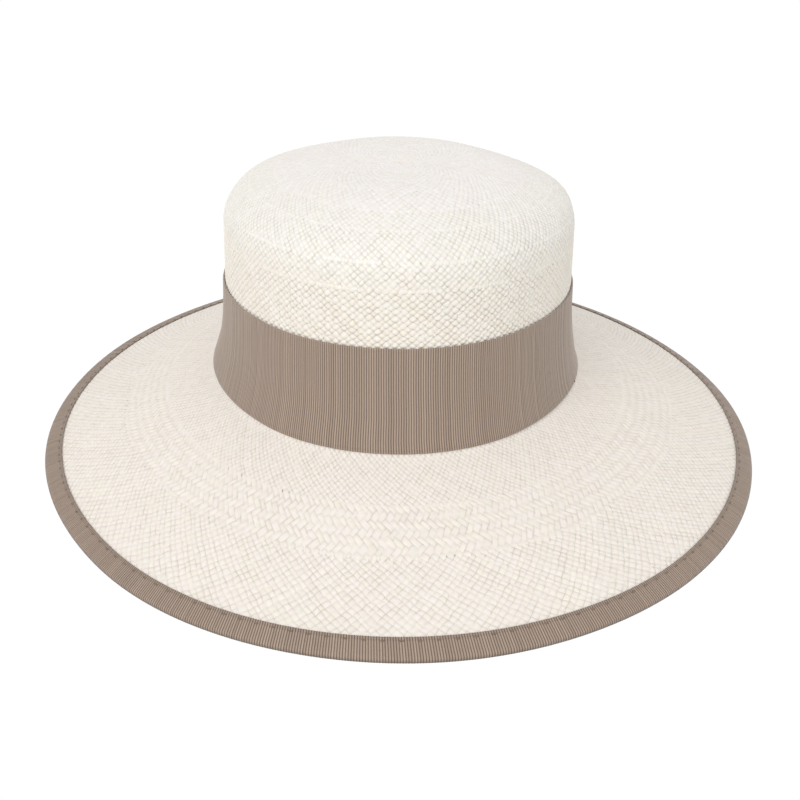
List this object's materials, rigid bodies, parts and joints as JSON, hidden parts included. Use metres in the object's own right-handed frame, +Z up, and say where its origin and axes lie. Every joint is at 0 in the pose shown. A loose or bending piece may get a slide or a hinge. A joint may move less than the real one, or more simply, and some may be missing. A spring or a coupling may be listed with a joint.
{
  "type": "panama hat",
  "caption": "Woven straw sun hat with a flat-topped crown, wide drooping brim, ribbon band, bound edge and inner sweatband.",
  "frame": {"origin": "centre of the plane that the brim's edge rests on", "axes": "+Z up through the crown, the wearer faces -Y, +X is the wearer's left side"},
  "size_m": [0.3304, 0.363, 0.1192],
  "materials": {
    "straw": "matt hand-woven toquilla straw, ivory",
    "grosgrain": "taupe ribbed grosgrain ribbon, slight sheen",
    "binding_tape": "taupe ribbed grosgrain tape",
    "taupe_thread": "dark taupe sewing thread",
    "sweatband_cloth": "cream cotton sweatband",
    "reed_plastic": "flexible welt cord",
    "reed_tape_cloth": "plain woven cotton tape",
    "cream_thread": "cream sewing thread",
    "tab_cloth": "blank satin tab"
  },
  "bodies": {
    "hat": {"straw_body": "straw", "hat_band": "grosgrain", "band_tack_stitches": "taupe_thread", "bow_tails": "grosgrain", "bow_loops": "grosgrain", "bow_knot": "grosgrain", "brim_binding": "binding_tape", "brim_binding_stitches": "taupe_thread", "sweatband": "sweatband_cloth", "reed_cord": "reed_plastic", "reed_tape": "reed_tape_cloth", "sweatband_stitches": "cream_thread", "sweatband_bow": "grosgrain"},
    "tab": {"size_tab": "tab_cloth"}
  },
  "joints": [
    {"name": "size_tab_flip", "type": "hinge", "parent": "hat", "child": "tab", "pos_m": [0, 0.0908, 0.062], "axis": [-1, 0, 0], "range_deg": [0, 110]}
  ]
}
